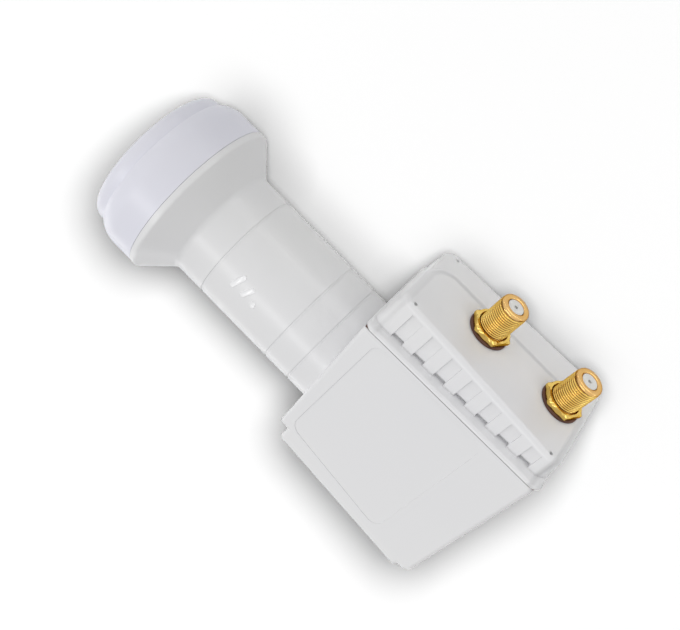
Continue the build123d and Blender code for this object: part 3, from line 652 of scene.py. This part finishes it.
def floor_finish():
    """Pale floor that keeps shadows, throws less light back on the part and is plain white farther off."""
    material = bpy.data.materials.new("floor_white")
    material.use_nodes = True
    tree = material.node_tree
    tree.nodes.clear()
    output = tree.nodes.new("ShaderNodeOutputMaterial")
    place = tree.nodes.new("ShaderNodeTexCoord").outputs["Object"]
    seen = seen_directly(tree)

    def vector(operation, first, second):
        node = tree.nodes.new("ShaderNodeVectorMath")
        node.operation = operation
        for value, socket in ((first, node.inputs[0]), (second, node.inputs[1])):
            if isinstance(value, Vector):
                socket.default_value = value
            else:
                tree.links.new(value, socket)
        return node.outputs["Value" if operation in ("DOT_PRODUCT", "DISTANCE") else "Vector"]

    # Paler where the floor's own lamp strikes it at a slant, so that the open floor is even
    to_lamp = vector("SUBTRACT", FLOOR_LAMP_PLACE, place)
    square = vector("DOT_PRODUCT", to_lamp, to_lamp)
    slant = sum_node(tree, "DIVIDE", square, vector("DOT_PRODUCT", to_lamp, FLOOR_LAMP_BACK))
    straight = (FLOOR_LAMP_PLACE.z - floor_level) / FLOOR_LAMP_BACK.z
    even = sum_node(tree, "MINIMUM", sum_node(tree, "MULTIPLY", slant, FLOOR_SEEN / straight), 1.0)

    # Painted shadow: darker close to the part
    contact_occlusion = tree.nodes.new("ShaderNodeAmbientOcclusion")
    contact_occlusion.inputs["Distance"].default_value = FLOOR_PAINTED_SHADOW_REACH * MM
    painted_contact_shadow = soft_range(tree, contact_occlusion.outputs["AO"], 0.0, 1.0, FLOOR_PAINTED_SHADOW, 1.0)
    colour = tree.nodes.new("ShaderNodeMix")
    colour.data_type = "RGBA"
    colour.inputs[6].default_value = grey(FLOOR_BOUNCE)
    tree.links.new(sum_node(tree, "MULTIPLY", even, painted_contact_shadow), colour.inputs[7])
    tree.links.new(seen, colour.inputs["Factor"])
    diffuse = tree.nodes.new("ShaderNodeBsdfDiffuse")
    tree.links.new(colour.outputs[2], diffuse.inputs["Color"])

    # White far from the part, and never quite dark in its shadow; the painted shadow close to the part dims
    # this glow too
    far = vector("DISTANCE", place, Vector((middle.x, middle.y, floor_level)))
    clear = soft_range(tree, far, FLOOR_CLEAR_START * MM, FLOOR_CLEAR_END * MM, 0.0, 1.0)
    lift = sum_node(tree, "MAXIMUM", sum_node(tree, "MULTIPLY", painted_contact_shadow, FLOOR_LIFT), clear)
    glow = tree.nodes.new("ShaderNodeEmission")
    tree.links.new(sum_node(tree, "MULTIPLY", lift, seen), glow.inputs["Strength"])
    both = tree.nodes.new("ShaderNodeAddShader")
    tree.links.new(diffuse.outputs[0], both.inputs[0])
    tree.links.new(glow.outputs[0], both.inputs[1])
    tree.links.new(both.outputs[0], output.inputs["Surface"])
    return material


floor_mesh.materials.append(floor_finish())


def light_tent():
    """World light: soft from everywhere, stronger from the horn's side, and white where it is seen."""
    world = bpy.data.worlds.new("studio")
    scene.world = world
    world.use_nodes = True
    tree = world.node_tree
    background = tree.nodes["Background"]
    axes = split_axes(tree, tree.nodes.new("ShaderNodeTexCoord").outputs["Generated"])
    lean = tree.nodes.new("ShaderNodeMapRange")
    lean.inputs["From Min"].default_value = -1.0
    lean.inputs["From Max"].default_value = 1.0
    lean.inputs["To Min"].default_value = WORLD_LEVEL * (1 - WORLD_LEAN)
    lean.inputs["To Max"].default_value = WORLD_LEVEL * (1 + WORLD_LEAN)
    tree.links.new(axes["X"], lean.inputs["Value"])
    level = tree.nodes.new("ShaderNodeMix")
    tree.links.new(seen_directly(tree), level.inputs["Factor"])
    tree.links.new(lean.outputs["Result"], level.inputs[2])
    level.inputs[3].default_value = 1.0
    tree.links.new(level.outputs[0], background.inputs["Strength"])
    background.inputs["Color"].default_value = grey(1.0)


light_tent()


def soft_box(name, target, direction, distance, length, width, level):
    """A soft light on one side of a target, with its length along the neck."""
    light = bpy.data.lights.new(name, "AREA")
    light.shape = "RECTANGLE"
    light.size = length * MM
    light.size_y = width * MM
    light.energy = level * (math.pi * distance * MM) ** 2
    lamp = bpy.data.objects.new(name, light)
    back = direction.normalized()
    along = (Vector((1, 0, 0)) - back * back.x).normalized()
    turn = Matrix((along, back.cross(along), back)).transposed()
    lamp.matrix_world = Matrix.Translation(target + back * distance * MM) @ turn.to_4x4()
    lamp.visible_camera = False
    scene.collection.objects.link(lamp)
    return lamp


soft_box("top_box", middle, **TOP_BOX)
soft_box("side_box", middle, **SIDE_BOX)
fill = soft_box("fill_card", OUTLETS_MIDDLE * MM, **FILL_CARD)
fill.visible_glossy = False

# A small card that only the gold sees, for the bright line along each barrel
gold_card = soft_box("gold_card", OUTLETS_MIDDLE * MM, **GOLD_CARD)
gold_only = bpy.data.collections.new("lit_gold")
for piece in gold_pieces:
    gold_only.objects.link(piece)
gold_card.light_linking.receiver_collection = gold_only

# Light for the floor alone, from close to where the photograph was taken, so that a soft shadow lies all round
# the part. Its strength doesn't fall off with distance.
floor_light = bpy.data.lights.new("floor_light", "AREA")
floor_light.shape = "DISK"
floor_light.size = FLOOR_LAMP_SIZE * MM
floor_light.energy = FLOOR_LEVEL / FLOOR_SEEN * math.pi ** 2 / FLOOR_LAMP_BACK.z
floor_light.use_nodes = True
falloff = floor_light.node_tree.nodes.new("ShaderNodeLightFalloff")
falloff.inputs["Strength"].default_value = 1.0
floor_light.node_tree.links.new(
    falloff.outputs["Constant"], floor_light.node_tree.nodes["Emission"].inputs["Strength"])
floor_lamp = bpy.data.objects.new("floor_light", floor_light)
floor_lamp.location = FLOOR_LAMP_PLACE
floor_lamp.rotation_mode = "QUATERNION"
floor_lamp.rotation_quaternion = FLOOR_LAMP_BACK.to_track_quat("Z", "Y")
floor_lamp.visible_camera = False
scene.collection.objects.link(floor_lamp)
floor_only = bpy.data.collections.new("lit_floor")
floor_only.objects.link(floor)
floor_lamp.light_linking.receiver_collection = floor_only

# Camera
camera_data = bpy.data.cameras.new("camera")
camera_data.lens = CAMERA_LENS
camera_data.sensor_width = SENSOR_WIDTH
camera_data.sensor_fit = "HORIZONTAL"
camera_data.clip_start = CLIP_START * MM
camera_data.clip_end = CLIP_END * MM
camera = bpy.data.objects.new("camera", camera_data)
turn = Matrix((CAMERA_RIGHT, CAMERA_UP, CAMERA_BACK)).transposed()
camera.matrix_world = Matrix.Translation(CAMERA_PLACE) @ turn.to_4x4()
scene.collection.objects.link(camera)
scene.camera = camera
scene.view_settings.view_transform = "Standard"
